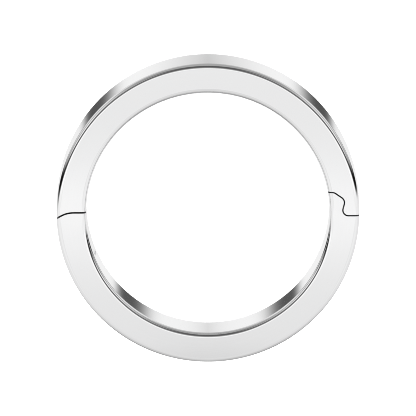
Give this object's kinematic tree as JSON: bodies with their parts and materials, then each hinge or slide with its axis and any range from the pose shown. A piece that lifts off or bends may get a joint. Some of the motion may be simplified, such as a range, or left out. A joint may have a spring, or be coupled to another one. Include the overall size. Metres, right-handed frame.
{
  "type": "hinged flat band ring",
  "caption": "Plain flat band ring in polished white metal, with softly rounded edges, a flush hinge at one side and an S-shaped snap catch at the other.",
  "frame": {"origin": "middle of the ring on its back face, which is the face that it lies on", "axes": "+Z along the finger hole, from the back face to the front face; +X towards the snap catch; +Y towards the middle of the upper half"},
  "size_m": [0.0214, 0.0214, 0.0046],
  "materials": {
    "polished_metal": "mirror polished white metal, such as plated silver or white gold"
  },
  "bodies": {
    "upper_half": {"upper_band": "polished_metal"},
    "lower_half": {"lower_band": "polished_metal", "hinge_pin": "polished_metal"}
  },
  "joints": [
    {"name": "band_hinge", "type": "hinge", "parent": "upper_half", "child": "lower_half", "pos_m": [-0.00953, -0.00182, 0.0023], "axis": [0, 0, -1], "range_deg": [0, 60]}
  ]
}
